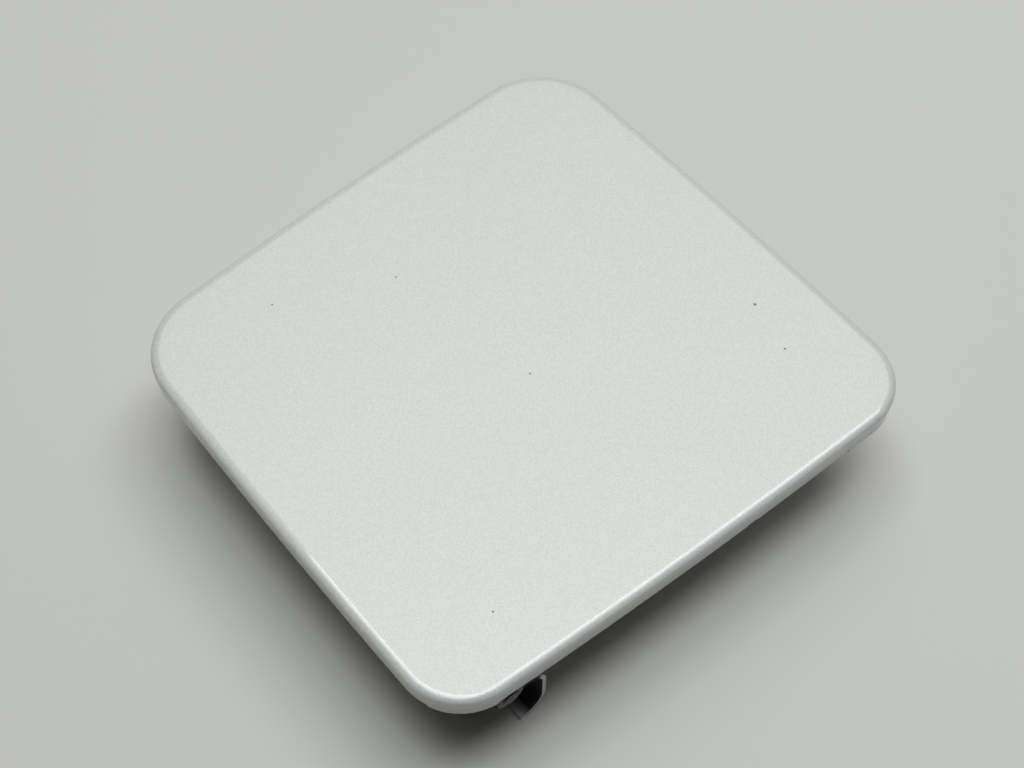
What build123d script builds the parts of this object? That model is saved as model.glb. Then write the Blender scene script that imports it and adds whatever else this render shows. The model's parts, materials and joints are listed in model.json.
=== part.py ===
"""Fuel filler flap: a painted steel flap on a hinge bracket with two C-shaped necks.

Millimetres. X runs from the hinge side to the free side, Y along the hinge pin, Z out of the
painted face. The bracket's base stands on z = 0 under the middle of the flap.
"""
import os
from math import cos, radians, sin, sqrt, tan

from build123d import *

# Flap outline and skin
flap_width = 166.0          # hinge side to free side, between the middles of the bowed sides
flap_length = 158.3         # along the pin, halfway between hinge side and free side
side_taper = 2.4            # degrees; each end leans out towards the free side
end_bow = 1.6               # rise of the curve of the two ends
side_bow = 1.1              # rise of the curve of the hinge side and the free side
corner_low = 18.5           # corner radius at the low end, -Y
corner_high = 23.0          # corner radius at the high end, +Y
stand_height = 40.0         # top of the face above the bracket's base
edge_depth = 8.0            # top of the face to the lower edge of the flange
edge_radius = 3.0           # rounding where the face turns into the flange
skin = 0.8                  # sheet of the outer panel

# Hem lips that hold the inner panel
hem_width = 6.0             # flange to the lip's free edge
hem_ease = 0.5              # slope along the fold
hinge_lip = 89.0            # length of the lip along the hinge side
free_lip = 96.0             # length of the lip along the free side
end_lip_start = -44.0       # X where the lips of the two ends start
end_lip_finish = 52.0       # X where they stop
end_lip_break = 16.2        # X of the relief inside the low end's lip
break_width = 3.6
relief_width = 2.0          # small notches where the lips stop towards the free side
relief_rise = 0.7           # how far a notch cuts into the flange above the lip

# Inner panel
panel_sheet = 0.8
panel_clearance = 0.4       # round the edge, inside the flange
field_rise = 3.4            # depth of the two swaged fields
field_slope = 35.0          # degrees; slope of their walls
field_radius = 12.0         # corner radius of a field
field_ease = 1.0            # slope round a field's floor
field_land = 20.0           # flat land between a field and the flap's end
rib_width = 30.0            # flat land between the two fields
field_start = -40.0         # X of the fields' hinge-side edge
field_finish = 50.0         # X of the fields' free-side edge
window_length = 46.0        # long hole in each field
window_width = 17.0
drain_radius = 2.5          # one drain hole in the land of each end, near the hinge
drain_inset = 40.0          # drain hole from the hinge side

# Hinge: pin, bushes, eyes and lugs
pin_radius = 2.5
running_clearance = 0.05    # pin in bush
fixed_clearance = 0.02      # bush in eye, pin in lug
bush_wall = 1.05
bush_collar = 4.0           # length of the collar between neck and lug
bush_collar_wall = 1.8
side_play = 0.3             # between a collar or head and what turns beside it
bracket_sheet = 1.4
eye_clearance = 0.3         # eye to inner panel
hinge_inset = 21.0          # pin from the hinge side
open_angle = 95.0           # degrees of opening

# Hinge bracket
neck_edge_gap = 2.2         # outer face of a neck inside the flap's end
neck_width = 22.0
neck_reach = 13.2           # pin to the outer face of the neck's upright
neck_bend_top = 7.0         # outer bend radii of a neck
neck_bend_foot = 8.0
toe_length = 0.8            # flat of a neck's foot beyond its bend
curl_stop = 38.0            # degrees; where the curl of an eye stops above its strip
base_gap = 1.2              # slot between the base plate and a neck
base_behind = 7.5           # base plate behind the pin, towards the hinge side
base_ahead = 22.0           # base plate ahead of the pin
base_corner = 3.0
flare_length = 12.0         # how far the wider base reaches in under a neck
bolt_spacing = 60.0
bolt_hole_radius = 3.3
bolt_ahead = 12.0           # bolts ahead of the pin
stop_width = 18.0           # tab that stops the open flap
stop_height = 9.5
stop_clearance = 0.3

# Lugs with cams, and their leaf springs
lug_sheet = 1.5
lug_flange = 15.0           # flange of a lug along the pin
lug_ahead = 18.0            # flange ahead of the pin
lug_behind = 5.0            # ear and flange behind the pin
cam_flat = 4.6              # pin to each flat of the cam
cam_corner = 2.0
leaf_sheet = 0.6
leaf_gap = 0.05             # leaf to cam flat
leaf_width = 7.0
leaf_top = 3.0              # top of a leaf above the pin
leaf_foot = 15.0
leaf_bend = 2.0
rivet_radius = 1.6
rivet_head_radius = 3.0
rivet_head = 1.0
rivet_dome = 0.6            # slope round a rivet head
rivet_ahead = 10.0          # leaf rivet ahead of the leaf

# Pin ends
head_radius = 4.0
head_thickness = 1.0
clip_radius = 4.2
clip_thickness = 0.8
clip_mouth = 3.0
groove_radius = 1.9
groove_play = 0.05
pin_tail = 0.5              # pin beyond the clip

# Striker at the free side
striker_sheet = 1.6
striker_inset = 17.0        # outer face from the free side
striker_width = 22.0
striker_foot = 26.0         # flange on the inner panel
striker_bend = 2.5
striker_tip_radius = 8.0
cheek_depth = 8.0           # folded side walls of the tongue
cheek_stop = 9.0            # height of the cheeks' lower end
eye_radius = 4.5            # eye for the lock's plunger
eye_height = 12.0
striker_rivet_spacing = 12.0
striker_rivet_inset = 16.0  # rivets behind the tongue's outer face

# Rubber bumpers at the free side's corners
bumper_inset = 17.0         # from the free side
bumper_from_end = 27.0      # from the flap's end
bumper_radius = 6.0
bumper_height = 9.0
bumper_nose = 2.5           # slope round a bumper's nose
stem_radius = 2.6
barb_radius = 3.6
barb_length = 1.8

# Levels and positions that follow
flange_z = stand_height - edge_depth
panel_under = flange_z + skin
panel_top = panel_under + panel_sheet
half_width = flap_width / 2
bush_radius = pin_radius + running_clearance + bush_wall
eye_bore = bush_radius + fixed_clearance
eye_outer = eye_bore + bracket_sheet
pin_x = hinge_inset - half_width
pin_z = panel_under - eye_clearance - eye_outer


def end_edge(x):
    """Half length of the flap at x, without the bow of its ends."""
    return flap_length / 2 - end_bow + x * tan(radians(side_taper))


neck_out = end_edge(pin_x) - neck_edge_gap + end_bow / 2
neck_in = neck_out - neck_width
lug_out = neck_in - bush_collar - side_play
leaf_out = lug_out - lug_sheet / 2 + leaf_width / 2
base_half = neck_in - base_gap


def block(x, y, z):
    """Box between two limits on each axis."""
    size = Box(x[1] - x[0], y[1] - y[0], z[1] - z[0], align=Align.MIN)
    return Pos(x[0], y[0], z[0]) * size


def along_pin(profile, y0, y1):
    """Extrude a profile drawn in X and Z from y0 to y1."""
    return extrude(Plane.XZ.offset(-y0) * profile, y0 - y1)


def both_ends(shape):
    """The piece at the low end and its mirror image at the high end."""
    return shape, mirror(shape, Plane.XZ)


# Outer panel: pressed skin with a rounded edge, a turned-down flange and folded hem lips
def outline(inset=0.0):
    """Flap seen from above, drawn in from its edge by the inset."""
    corner_x = half_width - side_bow - inset
    side_x = half_width - inset
    end_y = flap_length / 2 - inset
    near = end_edge(-corner_x) - inset
    far = end_edge(corner_x) - inset
    ends = [
        ThreePointArc((-corner_x, s * near), (0, s * end_y), (corner_x, s * far))
        for s in (-1, 1)
    ]
    hinge_side = ThreePointArc((-corner_x, -near), (-side_x, 0), (-corner_x, near))
    free_side = ThreePointArc((corner_x, -far), (side_x, 0), (corner_x, far))
    face = make_face(ends + [hinge_side, free_side])
    face = fillet(face.vertices().filter_by(lambda v: v.Y < 0), corner_low - inset)
    return fillet(face.vertices().filter_by(lambda v: v.Y > 0), corner_high - inset)


def prism(inset, bottom, top):
    return extrude(Pos(0, 0, bottom) * outline(inset), top - bottom)


def face_solid():
    """Solid under the face, with its rounded edge and the eased fold below."""
    body = prism(0, flange_z, stand_height)
    body = fillet(body.faces().sort_by(Axis.Z)[-1].edges(), edge_radius)
    return chamfer(body.faces().sort_by(Axis.Z)[0].edges(), hem_ease)


def face_hollow():
    """Room inside the sheet; its top edge is sloped so that the rounding keeps its thickness."""
    body = prism(skin, panel_under, stand_height - skin)
    slope = (edge_radius - skin) * (2 - sqrt(2))
    return chamfer(body.faces().sort_by(Axis.Z)[-1].edges(), slope)


def outer_panel():
    panel = face_solid() - face_hollow()
    level = (flange_z - 1, panel_under)
    far = flap_length
    lips = [
        block((-far, -half_width + 2 * hem_width), (-hinge_lip / 2, hinge_lip / 2), level),
        block((half_width - 2 * hem_width, far), (-free_lip / 2, free_lip / 2), level),
        block((end_lip_start, end_lip_finish), (-far, -flap_length / 3), level),
        block((end_lip_start, end_lip_finish), (flap_length / 3, far), level),
    ]
    mouth = prism(skin, *level)
    for lip in lips:
        mouth -= lip
    panel -= mouth
    panel -= prism(hem_width, *level)
    notch_level = (flange_z - 1, panel_under + relief_rise)
    for s in (-1, 1):
        y = s * (free_lip + relief_width) / 2
        span = (y - relief_width / 2, y + relief_width / 2)
        panel -= block((half_width - 2 * hem_width, far), span, notch_level)
        span = (s * flap_length / 3, s * far)
        panel -= block((end_lip_finish, end_lip_finish + relief_width), (min(span), max(span)), notch_level)
    panel -= block((end_lip_break, end_lip_break + break_width), (-far, -flap_length / 3), notch_level)
    return panel


# Inner panel: pressed sheet on the hem lips, with two fields swaged up towards the skin
def field_face():
    low = rib_width / 2
    face = make_face(Polyline(
        (field_start, low),
        (field_finish, low),
        (field_finish, end_edge(field_finish) - field_land),
        (field_start, end_edge(field_start) - field_land),
        close=True,
    ))
    return fillet(face.vertices(), field_radius)


def swage(level, grow):
    """Sloped block of one field on a level, grown sideways, with its top edge eased."""
    face = offset(field_face(), grow) if grow else field_face()
    body = extrude(Pos(0, 0, level) * face, field_rise, taper=field_slope)
    top = body.faces().sort_by(Axis.Z)[-1]
    return chamfer(top.edges(), field_ease)


def inner_panel():
    panel = prism(skin + panel_clearance, panel_under, panel_top)
    slope = radians(field_slope)
    grow = panel_sheet * (1 / cos(slope) - tan(slope))
    for raised in both_ends(swage(panel_top, grow)):
        panel += raised
    for hollow in both_ends(swage(panel_under, 0)):
        panel -= hollow
    window_x = (field_start + field_finish) / 2
    window_y = (rib_width / 2 + end_edge(window_x) - field_land) / 2
    window = Pos(window_x, window_y, panel_under) * SlotOverall(window_length, window_width)
    drain_x = drain_inset - half_width
    drain = Pos(drain_x, end_edge(drain_x) - field_land / 2, panel_under) * Circle(drain_radius)
    stem = Pos(*bumper_place, panel_under) * Circle(stem_radius)
    rivet = Pos(striker_rivet_x, striker_rivet_spacing / 2, panel_under) * Circle(rivet_radius)
    for hole in (window, drain, stem, rivet):
        for cutter in both_ends(extrude(hole, stand_height - panel_under, both=True)):
            panel -= cutter
    return panel


# Lugs: welded ears with the pin's hole and a cam of two flats, one for shut and one for open
def cam_face():
    """Ear seen along the pin; each flat lies square to the leaf at one end of the travel."""
    lean = radians(open_angle)
    top = panel_under - pin_z

    def open_flat(x):
        return (-cam_flat + x * cos(lean)) / sin(lean)

    face = make_face(Polyline(
        (-lug_behind, top),
        (cam_flat, top),
        (cam_flat, open_flat(cam_flat)),
        (-lug_behind, open_flat(-lug_behind)),
        close=True,
    ))
    lower = face.vertices().filter_by(lambda v: v.Y < 0)
    face = fillet(lower, cam_corner)
    return face - Circle(pin_radius + fixed_clearance)


def lug():
    ear = along_pin(Pos(pin_x, pin_z) * cam_face(), -lug_out, -lug_out + lug_sheet)
    flange = block(
        (pin_x - lug_behind, pin_x + lug_ahead),
        (-lug_out, -lug_out + lug_flange),
        (panel_under - lug_sheet, panel_under),
    )
    inner_corners = flange.edges().filter_by(Axis.Z).group_by(Axis.Y)[-1]
    flange = fillet(inner_corners, cam_corner)
    return ear + flange


# Hinge bracket: one pressing with two C-shaped necks, rolled eyes, and a base with bolt holes
def neck_face():
    """Neck seen along the pin, from the rolled eye down round the C to the toe."""
    upright = pin_x + neck_reach
    inside = upright - bracket_sheet
    strip_low = pin_z - eye_outer
    strip_top = pin_z - eye_bore
    bend_x = upright - neck_bend_top
    foot_x = upright - neck_bend_foot
    bend_z = strip_top - neck_bend_top
    top_inner = neck_bend_top - bracket_sheet
    foot_inner = neck_bend_foot - bracket_sheet
    toe_x = foot_x - toe_length
    slant = sin(radians(45))
    outer = [
        Line((pin_x, strip_top), (bend_x, strip_top)),
        ThreePointArc(
            (bend_x, strip_top),
            (bend_x + neck_bend_top * slant, bend_z + neck_bend_top * slant),
            (upright, bend_z),
        ),
        Line((upright, bend_z), (upright, neck_bend_foot)),
        ThreePointArc(
            (upright, neck_bend_foot),
            (foot_x + neck_bend_foot * slant, neck_bend_foot * (1 - slant)),
            (foot_x, 0),
        ),
        Line((foot_x, 0), (toe_x, 0)),
    ]
    inner = [
        Line((toe_x, 0), (toe_x, bracket_sheet)),
        Line((toe_x, bracket_sheet), (foot_x, bracket_sheet)),
        ThreePointArc(
            (foot_x, bracket_sheet),
            (foot_x + foot_inner * slant, neck_bend_foot - foot_inner * slant),
            (inside, neck_bend_foot),
        ),
        Line((inside, neck_bend_foot), (inside, bend_z)),
        ThreePointArc(
            (inside, bend_z),
            (bend_x + top_inner * slant, bend_z + top_inner * slant),
            (bend_x, strip_low),
        ),
        Line((bend_x, strip_low), (pin_x, strip_low)),
        Line((pin_x, strip_low), (pin_x, strip_top)),
    ]
    strip = make_face(outer + inner)
    gap = radians(curl_stop)
    reach = 2 * eye_outer
    wedge = make_face(Polyline(
        (pin_x, pin_z),
        (pin_x + reach * cos(gap), pin_z - reach * sin(gap)),
        (pin_x, pin_z - reach),
        close=True,
    ))
    eye = Pos(pin_x, pin_z) * (Circle(eye_outer) - Circle(eye_bore))
    return strip + (eye - wedge)


def base_plate():
    back = pin_x - base_behind
    front = pin_x + base_ahead
    foot_x = pin_x + neck_reach - neck_bend_foot
    flare = neck_in + flare_length
    plate = block((back, front), (-base_half, base_half), (0, bracket_sheet))
    plate += block((back, foot_x), (-flare, flare), (0, bracket_sheet))
    plate = fillet(plate.edges().filter_by(Axis.Z).group_by(Axis.X)[0], base_corner)
    plate = fillet(plate.edges().filter_by(Axis.Z).group_by(Axis.X)[-1], base_corner)
    for s in (-1, 1):
        bolt = Pos(pin_x + bolt_ahead, s * bolt_spacing / 2) * Circle(bolt_hole_radius)
        shank = Pos(leaf_rivet_x, s * leaf_rivet_y) * Circle(rivet_radius)
        for hole in (bolt, shank):
            plate -= extrude(hole, bracket_sheet)
    return plate


def stop_tab():
    """Lanced tab that meets the flap's hem lip when the flap is open."""
    lean = radians(open_angle)
    lip_x = -half_width - pin_x
    lip_z = flange_z - pin_z
    face_x = pin_x + lip_x * cos(lean) - lip_z * sin(lean) + stop_clearance
    span = (-stop_width / 2, stop_width / 2)
    tab = block((face_x, face_x + bracket_sheet), span, (0, stop_height))
    tab = fillet(tab.edges().filter_by(Axis.X).group_by(Axis.Z)[-1], base_corner)
    window_x = face_x + bracket_sheet
    window = block((window_x, window_x + stop_height - bracket_sheet), span, (0, bracket_sheet))
    return tab, window


def hinge_bracket():
    tab, window = stop_tab()
    bracket = base_plate() - window + tab
    for neck in both_ends(along_pin(neck_face(), -neck_out, -neck_in)):
        bracket += neck
    return bracket


# Bushes: plastic tubes in the eyes, with a collar that keeps neck and lug apart
def bush():
    collar_radius = pin_radius + running_clearance + bush_collar_wall
    tube = Circle(bush_radius)
    collar = Circle(collar_radius)
    bore = Circle(pin_radius + running_clearance)
    body = along_pin(Pos(pin_x, pin_z) * (tube - bore), -neck_out, -neck_in)
    return body + along_pin(Pos(pin_x, pin_z) * (collar - bore), -neck_in, -neck_in + bush_collar)


# Hinge pin: steel pin with a head at the high end and a groove with a clip at the low end
def hinge_pin():
    at_pin = Pos(pin_x, pin_z)
    clip_y = -neck_out - side_play
    tail = clip_y - clip_thickness - groove_play - pin_tail
    head_y = neck_out + side_play
    pin = along_pin(at_pin * Circle(pin_radius), tail, head_y)
    pin += along_pin(at_pin * Circle(head_radius), head_y, head_y + head_thickness)
    ring = Circle(2 * pin_radius) - Circle(groove_radius)
    groove = along_pin(at_pin * ring, clip_y - clip_thickness - groove_play, clip_y)
    pin -= groove
    rim = pin.edges().filter_by(GeomType.CIRCLE).group_by(Axis.Y)
    return chamfer(rim[0] + rim[-1], pin_tail / 2)


def pin_clip():
    ring = Circle(clip_radius) - Circle(groove_radius)
    mouth = Pos(0, -clip_radius) * Rectangle(clip_mouth, 2 * clip_radius)
    face = Pos(pin_x, pin_z) * (ring - mouth)
    clip_y = -neck_out - side_play
    return along_pin(face, clip_y - clip_thickness, clip_y)


# Leaf springs: bent strips on the base plate that bear on the cams
leaf_x = pin_x + cam_flat + leaf_gap
leaf_rivet_x = leaf_x + rivet_ahead
leaf_rivet_y = leaf_out - leaf_width / 2


def leaf():
    foot = bracket_sheet
    bend = leaf_bend + leaf_sheet
    top = pin_z + leaf_top
    face = make_face(Polyline(
        (leaf_x, top),
        (leaf_x, foot),
        (leaf_x + leaf_foot, foot),
        (leaf_x + leaf_foot, foot + leaf_sheet),
        (leaf_x + leaf_sheet, foot + leaf_sheet),
        (leaf_x + leaf_sheet, top),
        close=True,
    ))
    outer = face.vertices().sort_by_distance((leaf_x, foot))[0]
    face = fillet(outer, bend)
    inner = face.vertices().sort_by_distance((leaf_x + leaf_sheet, foot + leaf_sheet))[0]
    face = fillet(inner, leaf_bend)
    strip = along_pin(face, -leaf_out, -leaf_out + leaf_width)
    strip -= extrude(Pos(leaf_rivet_x, -leaf_rivet_y, foot) * Circle(rivet_radius), leaf_sheet)
    return fillet(strip.edges().filter_by(Axis.Z).group_by(Axis.X)[-1], leaf_bend)


def rivet(x, y, low, high, lower_head):
    """Rivet through the sheets between two levels; a sunk one has its head on top only."""
    upright = (Align.CENTER, Align.CENTER, Align.MIN)
    dome = Cylinder(rivet_head_radius, rivet_head, align=upright)
    dome = chamfer(dome.edges().group_by(Axis.Z)[-1], rivet_dome)
    body = Pos(0, 0, low) * Cylinder(rivet_radius, high - low, align=upright)
    body += Pos(0, 0, high) * dome
    if lower_head:
        body += Pos(0, 0, low) * mirror(dome, Plane.XY)
    return Pos(x, y, 0) * body


def leaf_rivets():
    one = rivet(leaf_rivet_x, -leaf_rivet_y, 0, bracket_sheet + leaf_sheet, False)
    return Compound(children=list(both_ends(one)))


# Striker: bent steel tongue with folded cheeks and the eye for the lock's plunger
striker_face_x = half_width - striker_inset
striker_rivet_x = striker_face_x - striker_rivet_inset


def striker():
    inner_x = striker_face_x - striker_sheet
    back_x = striker_face_x - striker_foot
    under = panel_under - striker_sheet
    face = make_face(Polyline(
        (back_x, panel_under),
        (striker_face_x, panel_under),
        (striker_face_x, 0),
        (inner_x, 0),
        (inner_x, under),
        (back_x, under),
        close=True,
    ))
    outer = face.vertices().sort_by_distance((striker_face_x, panel_under))[0]
    face = fillet(outer, striker_bend + striker_sheet)
    inner = face.vertices().sort_by_distance((inner_x, under))[0]
    face = fillet(inner, striker_bend)
    half = striker_width / 2
    body = along_pin(face, -half, half)
    tip = body.edges().filter_by(Axis.X).group_by(Axis.Z)[0]
    body = fillet(tip, striker_tip_radius)
    back = body.edges().filter_by(Axis.Z).group_by(Axis.X)[0]
    body = fillet(back, striker_bend)
    cheek = make_face(Polyline(
        (inner_x, cheek_stop),
        (inner_x, under),
        (inner_x - cheek_depth, under),
        close=True,
    ))
    for wall in both_ends(along_pin(cheek, -half, -half + striker_sheet)):
        body += wall
    body -= extrude(Plane.YZ.offset(inner_x) * Pos(0, eye_height) * Circle(eye_radius), striker_sheet)
    for s in (-1, 1):
        place = Pos(striker_rivet_x, s * striker_rivet_spacing / 2, under)
        body -= extrude(place * Circle(rivet_radius), striker_sheet)
    return body


def striker_rivets():
    y = striker_rivet_spacing / 2
    one = rivet(striker_rivet_x, -y, panel_under - striker_sheet, panel_top, True)
    return Compound(children=list(both_ends(one)))


# Bumpers: rubber buttons pushed into holes of the inner panel
bumper_x = half_width - bumper_inset
bumper_place = (bumper_x, end_edge(bumper_x) - bumper_from_end)


def bumper():
    low = panel_under - bumper_height
    barb_top = panel_top + barb_length
    profile = make_face(Polyline(
        (0, low),
        (bumper_radius - bumper_nose, low),
        (bumper_radius, low + bumper_nose),
        (bumper_radius, panel_under),
        (stem_radius, panel_under),
        (stem_radius, panel_top),
        (barb_radius, panel_top),
        (stem_radius / 2, barb_top),
        (0, barb_top),
        close=True,
    ))
    return Pos(bumper_x, -bumper_place[1], 0) * revolve(Plane.XZ * profile, Axis.Z)


lugs = both_ends(lug())
bushes = both_ends(bush())
leaves = both_ends(leaf())
bumpers = both_ends(bumper())

nodes = {
    "outer_panel": outer_panel(),
    "inner_panel": inner_panel(),
    "lug_low": lugs[0],
    "lug_high": lugs[1],
    "hinge_bracket": hinge_bracket(),
    "bush_low": bushes[0],
    "bush_high": bushes[1],
    "hinge_pin": hinge_pin(),
    "pin_clip": pin_clip(),
    "leaf_low": leaves[0],
    "leaf_high": leaves[1],
    "leaf_rivets": leaf_rivets(),
    "striker": striker(),
    "striker_rivets": striker_rivets(),
    "bumper_low": bumpers[0],
    "bumper_high": bumpers[1],
}

os.makedirs("parts", exist_ok=True)
for name, shape in nodes.items():
    export_step(shape, f"parts/{name}.step")
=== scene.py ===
"""Looks of a painted fuel filler flap on its hinge bracket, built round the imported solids."""
import cmath
import json
import math

import bmesh
import bpy
from mathutils import Matrix, Vector
from mathutils.geometry import delaunay_2d_cdt


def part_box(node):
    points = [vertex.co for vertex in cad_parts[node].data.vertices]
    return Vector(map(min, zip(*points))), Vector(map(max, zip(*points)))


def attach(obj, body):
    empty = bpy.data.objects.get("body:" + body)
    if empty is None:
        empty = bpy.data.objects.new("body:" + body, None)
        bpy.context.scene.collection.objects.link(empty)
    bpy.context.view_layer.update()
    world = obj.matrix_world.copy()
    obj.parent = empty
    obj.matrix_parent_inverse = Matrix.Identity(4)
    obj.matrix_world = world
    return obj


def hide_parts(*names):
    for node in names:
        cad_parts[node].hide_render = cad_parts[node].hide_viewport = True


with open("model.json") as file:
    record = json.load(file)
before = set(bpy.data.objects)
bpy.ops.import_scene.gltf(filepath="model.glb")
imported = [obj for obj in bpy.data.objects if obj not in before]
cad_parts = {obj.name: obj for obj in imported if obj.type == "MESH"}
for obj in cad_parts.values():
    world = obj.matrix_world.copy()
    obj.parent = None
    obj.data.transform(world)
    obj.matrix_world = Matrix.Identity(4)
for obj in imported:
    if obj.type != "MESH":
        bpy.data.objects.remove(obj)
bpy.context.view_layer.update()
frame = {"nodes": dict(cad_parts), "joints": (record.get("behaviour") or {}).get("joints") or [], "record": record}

mm = 0.001

# Worktop: a plain pale board, far larger than the view, just under the bracket's base.
# It only carries the shadow, and from below it lets the view through.
worktop_reach = 2.5
worktop_drop = 0.0002
worktop_colour = (0.685, 0.685, 0.66, 1)


def add_node(tree, kind, sockets=None, **settings):
    """Add a node; each socket, by name or number, takes a value or another node's output."""
    made = tree.nodes.new(kind)
    for name, value in settings.items():
        setattr(made, name, value)
    for name, value in (sockets or {}).items():
        if isinstance(value, bpy.types.NodeSocket):
            tree.links.new(value, made.inputs[name])
        else:
            made.inputs[name].default_value = value
    return made


def new_finish(name):
    """A material with its node tree and its surface shader."""
    material = bpy.data.materials.new(name)
    material.use_nodes = True
    return material, material.node_tree, material.node_tree.nodes["Principled BSDF"]


def noise(tree, scale, detail):
    """Soft random pattern on the piece's own coordinates."""
    place = add_node(tree, "ShaderNodeTexCoord").outputs["Object"]
    made = add_node(tree, "ShaderNodeTexNoise", {"Vector": place, "Scale": scale, "Detail": detail})
    return made.outputs["Fac"]


def relief(tree, shader, heights, strength, depth):
    """Fine bumps on a surface, from a pattern's heights; depth in millimetres."""
    bump = add_node(tree, "ShaderNodeBump", {"Strength": strength, "Distance": depth * mm,
                                             "Height": heights})
    tree.links.new(bump.outputs["Normal"], shader.inputs["Normal"])


def worktop_finish():
    material, tree, shader = new_finish("worktop_laminate")
    shader.inputs["Base Color"].default_value = worktop_colour
    shader.inputs["Roughness"].default_value = 0.6
    relief(tree, shader, noise(tree, 900.0, 2.0), strength=0.1, depth=0.1)
    below = add_node(tree, "ShaderNodeNewGeometry").outputs["Backfacing"]
    clear = add_node(tree, "ShaderNodeBsdfTransparent")
    surface = add_node(tree, "ShaderNodeMixShader", {0: below, 1: shader.outputs[0], 2: clear.outputs[0]})
    tree.links.new(surface.outputs[0], tree.nodes["Material Output"].inputs["Surface"])
    return material


def link_object(name, mesh, material):
    made = bpy.data.objects.new(name, mesh)
    mesh.materials.append(material)
    bpy.context.scene.collection.objects.link(made)
    return made


worktop_mesh = bpy.data.meshes.new("worktop")
worktop_corners = [
    (x * worktop_reach, y * worktop_reach, -worktop_drop)
    for x, y in ((-1, -1), (1, -1), (1, 1), (-1, 1))
]
worktop_mesh.from_pydata(worktop_corners, [], [(0, 1, 2, 3)])
link_object("worktop", worktop_mesh, worktop_finish())

# Studio light: two strip lamps and a softbox overhead, square with the flap, and a dim room.
# The strips hang over the two sides near the camera, and the room is lighter beyond the flap.
camera_azimuth = -39.5
camera_elevation = 58.3
flap_middle = Vector((-6.87, -8.28, 40.0)) * mm
azimuth = math.radians(camera_azimuth)
towards_camera = Vector((math.sin(azimuth), -math.cos(azimuth), 0))
lamp_height = 1.6
strip_light = 7.5
softbox_light = 2.3
strip_fade = 0.25
softbox_fade = 0.3
cool_tint = (0.97, 1.0, 1.015)
warm_tint = (1.0, 1.0, 0.93)
room_near = 0.01
room_far = 0.3
room_turn = 0.7
backdrop_level = 0.75


def panel_lamp(name, x_span, y_span, radiance, tint, fade_along, first_share=1.0, last_share=1.0):
    """Lamp over the flap; its edges are shares of its height, and its light may fade from side to side."""
    data = bpy.data.lights.new(name, "AREA")
    data.shape = "RECTANGLE"
    data.size = lamp_height * (x_span[1] - x_span[0])
    data.size_y = lamp_height * (y_span[1] - y_span[0])
    data.energy = radiance * math.pi * data.size * data.size_y
    data.color = tint
    data.use_nodes = True
    tree = data.node_tree
    across = add_node(tree, "ShaderNodeNewGeometry").outputs["Parametric"]
    depth = add_node(tree, "ShaderNodeVectorMath", {0: across, 1: fade_along}, operation="DOT_PRODUCT")
    fade = add_node(tree, "ShaderNodeMapRange", {"Value": depth.outputs["Value"],
                                                 "To Min": first_share, "To Max": last_share})
    tree.links.new(fade.outputs["Result"], tree.nodes["Emission"].inputs["Strength"])
    lamp = bpy.data.objects.new(name, data)
    bpy.context.scene.collection.objects.link(lamp)
    lamp.location = flap_middle + lamp_height * Vector((sum(x_span) / 2, sum(y_span) / 2, 1))


panel_lamp("hinge_side_strip", (-0.3, 0.04), (-0.22, 0.44), strip_light, cool_tint, (1, 0, 0),
           first_share=strip_fade)
panel_lamp("end_strip", (0.05, 0.72), (-0.3, 0.04), strip_light, cool_tint, (0, 1, 0),
           first_share=strip_fade)
panel_lamp("far_softbox", (0.05, 0.9), (0.05, 0.9), softbox_light, warm_tint, (0.5, 0.5, 0),
           last_share=softbox_fade)

room = bpy.data.worlds.new("room")
room.use_nodes = True
bpy.context.scene.world = room
room_tree = room.node_tree
room_light = room_tree.nodes["Background"]
room_light.inputs["Color"].default_value = (*warm_tint, 1)
direction = add_node(room_tree, "ShaderNodeTexCoord").outputs["Generated"]
beyond = add_node(room_tree, "ShaderNodeVectorMath", {0: direction, 1: -towards_camera},
                  operation="DOT_PRODUCT")
level = add_node(room_tree, "ShaderNodeMapRange", {"Value": beyond.outputs["Value"], "From Max": room_turn,
                                                   "To Min": room_near, "To Max": room_far})
seen = add_node(room_tree, "ShaderNodeLightPath").outputs["Is Camera Ray"]
strength = add_node(room_tree, "ShaderNodeMix", {0: seen, 2: level.outputs["Result"], 3: backdrop_level})
room_tree.links.new(strength.outputs[0], room_light.inputs["Strength"])
bpy.context.scene.view_settings.view_transform = "Standard"

# Camera: where the photograph's perspective puts it, beyond the corner of the hinge side and the low end.
# It looks down on the face, so that both near flanges and one neck of the bracket show.
camera_distance = 0.428
elevation = math.radians(camera_elevation)
camera_data = bpy.data.cameras.new("camera")
camera_data.sensor_width = 36.0
camera_data.lens = 54.14
camera_data.clip_start = 0.01
camera = bpy.data.objects.new("camera", camera_data)
bpy.context.scene.collection.objects.link(camera)
line_of_sight = towards_camera * math.cos(elevation) + Vector((0, 0, math.sin(elevation)))
camera.location = flap_middle + camera_distance * line_of_sight
camera.rotation_euler = line_of_sight.to_track_quat("Z", "Y").to_euler()
bpy.context.scene.camera = camera

# Outer panel: one steel pressing with a slightly crowned face, a rounded edge and a turned-down flange.
# Hem lips are folded in along its four sides, between small relief notches, and hold the inner panel.
# It is sprayed pearl white under clear coat; a few specks of dirt stick to the face.
panel_low, panel_high = (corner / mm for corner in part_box("outer_panel"))
half_width = panel_high.x
face_top = panel_high.z
fold_level = panel_low.z
flap_length = 158.3
side_taper = math.tan(math.radians(2.4))
end_bow = 1.6
side_bow = 1.1
corner_low = 18.5
corner_high = 23.0
crown_radius = 5700.0
edge_radius = 3.0
edge_depth = 1.3
skin = 0.8
fold_radius = 1.2
notch_top = fold_level + 1.5
hem_width = 6.0
lip_corner = 3.0
face_rings = 56
edge_steps = 16
flange_rows = (0.35, 0.7, 1.0)
fold_steps = 7
notch_row = edge_steps + len(flange_rows)
fold_row = notch_row + fold_steps + 1
# Painted shade: the paint's colour darkens between these depths below the face, down the flange.
flange_shade_start_depth = 0.8
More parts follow.
